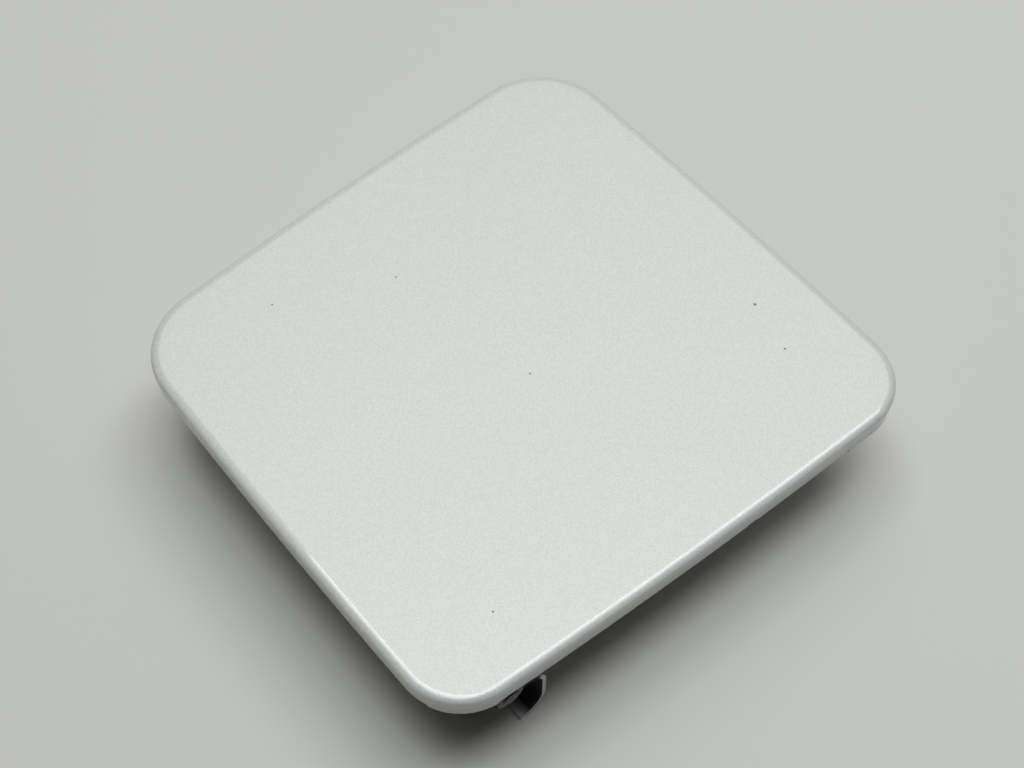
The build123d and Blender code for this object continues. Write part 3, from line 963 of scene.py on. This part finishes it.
def moulded_plastic():
    material, tree, shader = new_finish("black_moulded_plastic")
    grain = noise(tree, 3000.0, 2.0)
    shaded(tree, shader, grain, (0.018, 0.018, 0.019, 1), (0.034, 0.034, 0.035, 1))
    dulled(tree, shader, grain, 0.38, 0.52)
    relief(tree, shader, grain, strength=0.2, depth=0.02)
    return material


black_plastic = moulded_plastic()
for side, name in ((-1, "bush_low"), (1, "bush_high")):
    profile = rounded_path([
        (bush_bore, -collar_length, bush_edge),
        (collar_radius, -collar_length, bush_edge),
        (collar_radius, 0, bush_edge),
        (bush_radius, 0, 0),
        (bush_radius, neck_width, bush_edge),
        (bush_bore, neck_width, bush_edge),
    ], steps=4)
    solid = turned([(p.real, p.imag) for p in profile], (pin_x, side * neck_in, pin_z), (0, side, 0))
    bush_mesh = settled(solid, name + "_moulding")
    fit_piece(name + "_moulding", bush_mesh, black_plastic, "bracket", "black_plastic", name)

# Hinge pin: a phosphated steel pin fixed in the lugs, with a low head at the high end.
# A pressed clip sits in its groove at the low end.
pin_radius = 2.5
pin_low, pin_high = (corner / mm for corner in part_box("hinge_pin"))
clip_low, clip_high = (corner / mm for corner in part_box("pin_clip"))
head_radius = 4.0
head_thickness = 1.0
groove_radius = 1.9
clip_edge = 0.1


def phosphated_finish():
    material, tree, shader = new_finish("phosphated_steel")
    crystals = noise(tree, 2200.0, 3.0)
    shaded(tree, shader, crystals, (0.045, 0.046, 0.050, 1), (0.11, 0.11, 0.115, 1))
    relief(tree, shader, crystals, strength=0.25, depth=0.02)
    shader.inputs["Metallic"].default_value = 0.7
    shader.inputs["Roughness"].default_value = 0.48
    return material


phosphated_steel = phosphated_finish()
pin_profile = rounded_path([
    (0, pin_low.y, 0),
    (pin_radius, pin_low.y, 0.4),
    (pin_radius, clip_low.y, 0),
    (groove_radius, clip_low.y, 0),
    (groove_radius, clip_high.y, 0),
    (pin_radius, clip_high.y, 0),
    (pin_radius, pin_high.y - head_thickness, 0),
    (head_radius, pin_high.y - head_thickness, 0.15),
    (head_radius, pin_high.y, 0.6),
    (0, pin_high.y, 0),
], closed=False, steps=5)
solid = turned([(p.real, p.imag) for p in pin_profile], (pin_x, 0, pin_z), (0, 1, 0))
pin_mesh = settled(solid, "pin_turned")
fit_piece("pin_turned", pin_mesh, phosphated_steel, "flap", "phosphated_steel", "hinge_pin")
clip_mesh = settled(eased_copy("pin_clip", clip_edge), "pin_clip_pressed")
fit_piece("pin_clip_pressed", clip_mesh, phosphated_steel, "flap", "phosphated_steel", "pin_clip")

# Leaf springs: blued strips riveted to the base, which press on the cams and hold the flap shut or open.
# Rolling has left fine lines along them.
leaf_sheet = 0.6
leaf_bend = 2.0
leaf_edge = 0.1


def blued_finish():
    material, tree, shader = new_finish("blued_spring_steel")
    place = add_node(tree, "ShaderNodeTexCoord").outputs["Object"]
    lines = add_node(tree, "ShaderNodeMapping", {"Vector": place, "Scale": (150, 5000, 150)})
    streaks = {"Vector": lines.outputs["Vector"], "Scale": 1.0, "Detail": 3.0}
    rolled = add_node(tree, "ShaderNodeTexNoise", streaks).outputs["Fac"]
    shaded(tree, shader, rolled, (0.16, 0.17, 0.20, 1), (0.30, 0.31, 0.34, 1))
    dulled(tree, shader, rolled, 0.28, 0.45)
    shader.inputs["Metallic"].default_value = 1.0
    return material


spring_steel = blued_finish()
for name in ("leaf_low", "leaf_high"):
    low, high = (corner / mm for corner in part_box(name))
    corners = [(high.x, low.z, 0), (low.x, low.z, leaf_bend + leaf_sheet), (low.x, high.z, 0)]
    path = rounded_path(corners, closed=False)
    path = [complex(high.x - rest, low.z) for rest in (0, 0.15, 0.6, 1.2, 2.0)] + path[1:]
    path.reverse()
    middle = (low.y + high.y) / 2
    half_leaf = (high.y - low.y) / 2

    def leaf_columns(k):
        rest = min(leaf_bend, high.x - path[k].real)
        half = half_leaf - leaf_bend + math.sqrt(leaf_bend ** 2 - (leaf_bend - rest) ** 2)
        return [middle - half, middle, middle + half]

    sheet = bmesh.new()
    sheet_rows(sheet, path, leaf_columns)
    leaf_mesh = settled(sheet, name + "_strip", leaf_sheet, leaf_edge)
    fit_piece(name + "_strip", leaf_mesh, spring_steel, "bracket", "spring_steel", name)

# Rivets: zinc plated steel, with domed heads; two hold the leaves and two hold the striker.
# Each pair is set by the same tool, so the heads are alike.
rivet_head = 1.0
dome_steps = 8
striker_sheet = 1.6


def zinc_finish():
    material, tree, shader = new_finish("zinc_plate")
    bloom = noise(tree, 220.0, 4.0)
    shaded(tree, shader, bloom, (0.52, 0.53, 0.53, 1), (0.68, 0.68, 0.66, 1))
    dulled(tree, shader, bloom, 0.26, 0.46)
    relief(tree, shader, noise(tree, 2500.0, 2.0), strength=0.12, depth=0.02)
    shader.inputs["Metallic"].default_value = 1.0
    return material


def domed_rivet(low, high, lower_head):
    """Rivet through the sheets between two levels, with a dome on top and, unless sunk, one below."""
    dome = [cmath.rect(1, math.pi / 2 * k / dome_steps) for k in range(dome_steps)] + [1j]
    top = [(rivet_head_radius * p.real, high + rivet_head * p.imag) for p in reversed(dome)]
    shank = [(rivet_radius, high), (rivet_radius, low)]
    bottom = [(0, low)]
    if lower_head:
        bottom = [(rivet_head_radius * p.real, low - rivet_head * p.imag) for p in dome]
    return turned(top + shank + bottom, (0, 0, 0), (0, 0, 1), steps=32)


zinc = zinc_finish()
leaf_rivet = domed_rivet(0, bracket_sheet + leaf_sheet, lower_head=False)
leaf_places = [(leaf_rivet_x, side * leaf_rivet_y, 0) for side in (-1, 1)]
leaf_rivet_mesh = set_parts("leaf_rivet_heads", leaf_rivet, leaf_places, zinc)
fit_piece("leaf_rivet_heads", leaf_rivet_mesh, zinc, "bracket", "zinc", "leaf_rivets")
striker_rivet = domed_rivet(panel_under - striker_sheet, panel_under + panel_sheet, lower_head=True)
striker_places = [(striker_rivet_x, side * striker_rivet_y, 0) for side in (-1, 1)]
striker_rivet_mesh = set_parts("striker_rivet_heads", striker_rivet, striker_places, zinc)
fit_piece("striker_rivet_heads", striker_rivet_mesh, zinc, "flap", "zinc", "striker_rivets")

# Striker: a bent steel tongue riveted under the free side, with folded cheeks that stiffen it.
# The lock's plunger slides into the eye near its tip.
striker_low, striker_high = (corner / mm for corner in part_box("striker"))
striker_bend = 2.5
tip_radius = 8.0
tip_steps = 12
cheek_depth = 8.0
cheek_stop = 9.0
striker_edge = 0.25
eye = frame["record"]["mounts"][2]
eye_height = eye["pos_m"][2] / mm
eye_radius = eye["dims"]["r_mm"]


def tongue():
    half = striker_high.y
    face_x = striker_high.x
    back_rows = [complex(striker_low.x + rest, panel_under) for rest in (0, 0.2, 0.8, 1.6, striker_bend)]
    outer_bend = striker_bend + striker_sheet
    corners = [(striker_low.x, panel_under, 0), (face_x, panel_under, outer_bend), (face_x, 0, 0)]
    path = back_rows + rounded_path(corners, closed=False)[1:-1]
    for k in range(tip_steps + 1):
        path.append(complex(face_x, tip_radius * (1 - math.sin(math.pi / 2 * k / tip_steps))))

    def columns(k):
        point = path[k]
        if point.imag < tip_radius:
            inset = tip_radius - math.sqrt(tip_radius ** 2 - (tip_radius - point.imag) ** 2)
        else:
            rest = min(striker_bend, point.real - striker_low.x)
            inset = striker_bend - math.sqrt(striker_bend ** 2 - (striker_bend - rest) ** 2)
        wide = half - inset
        return [-wide, -wide / 2, 0, wide / 2, wide]

    sheet = bmesh.new()
    sheet_rows(sheet, path, columns)
    bmesh.ops.recalc_face_normals(sheet, faces=sheet.faces)
    if max(sheet.faces, key=lambda f: f.calc_center_median().z).normal.z < 0:
        bmesh.ops.reverse_faces(sheet, faces=sheet.faces)
    return sheet


def cheeks(mesh):
    """Add the two folded side walls to the tongue's mesh."""
    solid = bmesh.new()
    solid.from_mesh(mesh)
    inner_x = striker_high.x - striker_sheet
    under = panel_under - striker_sheet
    corners = [(inner_x, cheek_stop, 0), (inner_x, under, 0), (inner_x - cheek_depth, under, 0.6)]
    outline = rounded_path(corners, steps=4)
    for side in (-1, 1):
        walls = []
        for y in (side * (striker_high.y - striker_sheet), side * striker_high.y):
            walls.append([solid.verts.new(Vector((p.real, y, p.imag)) * mm) for p in outline])
        made = [solid.faces.new(walls[0]), solid.faces.new(reversed(walls[1]))]
        for k in range(len(outline)):
            after = (k + 1) % len(outline)
            made.append(solid.faces.new((walls[0][after], walls[0][k], walls[1][k], walls[1][after])))
        bmesh.ops.recalc_face_normals(solid, faces=made)
    solid.to_mesh(mesh)
    solid.free()
    mesh.set_sharp_from_angle(angle=math.radians(35))
    return mesh


cutter_profile = [(0, -5), (eye_radius, -5), (eye_radius, 5), (0, 5)]
eye_punch = turned(cutter_profile, (striker_high.x, 0, eye_height), (1, 0, 0), steps=64)
eye_cutter = link_object("eye_cutter", settled(eye_punch, "eye_cutter"), zinc)
striker_mesh = cheeks(settled(tongue(), "striker_tongue", striker_sheet, striker_edge, [eye_cutter]))
striker_mesh.materials.clear()
fit_piece("striker_tongue", striker_mesh, zinc, "flap", "zinc", "striker")

# Bumpers: black rubber buttons whose barbed stems snap into the inner panel.
# They meet the recess and keep the shut flap from rattling.
bumper_radius = (bumper_high.x - bumper_low.x) / 2
bumper_nose = 2.5
barb_radius = 3.6
panel_top = panel_under + panel_sheet


def rubber_finish():
    material, tree, shader = new_finish("black_rubber_moulding")
    patches = {"Value": noise(tree, 120.0, 4.0), "From Min": 0.5, "From Max": 0.8}
    dust = add_node(tree, "ShaderNodeMapRange", patches).outputs["Result"]
    shaded(tree, shader, dust, (0.014, 0.014, 0.014, 1), (0.055, 0.053, 0.050, 1))
    relief(tree, shader, noise(tree, 1800.0, 3.0), strength=0.3, depth=0.03)
    shader.inputs["Roughness"].default_value = 0.75
    return material


black_rubber = rubber_finish()
bumper_profile = rounded_path([
    (0, bumper_low.z + 0.4, 0),
    (bumper_radius * 0.3, bumper_low.z, 0.8),
    (bumper_radius, bumper_low.z, bumper_nose),
    (bumper_radius, panel_under, 0.3),
    (stem_radius, panel_under, 0),
    (stem_radius, panel_top, 0),
    (barb_radius, panel_top, 0.3),
    (stem_radius / 2, bumper_high.z, 0.5),
    (0, bumper_high.z, 0),
], closed=False, steps=6)
for side, name in ((-1, "bumper_low"), (1, "bumper_high")):
    solid = turned([(p.real, p.imag) for p in bumper_profile], (bumper_x, side * bumper_y, 0), (0, 0, 1))
    bumper_mesh = settled(solid, name + "_button")
    fit_piece(name + "_button", bumper_mesh, black_rubber, "flap", "black_rubber", name)
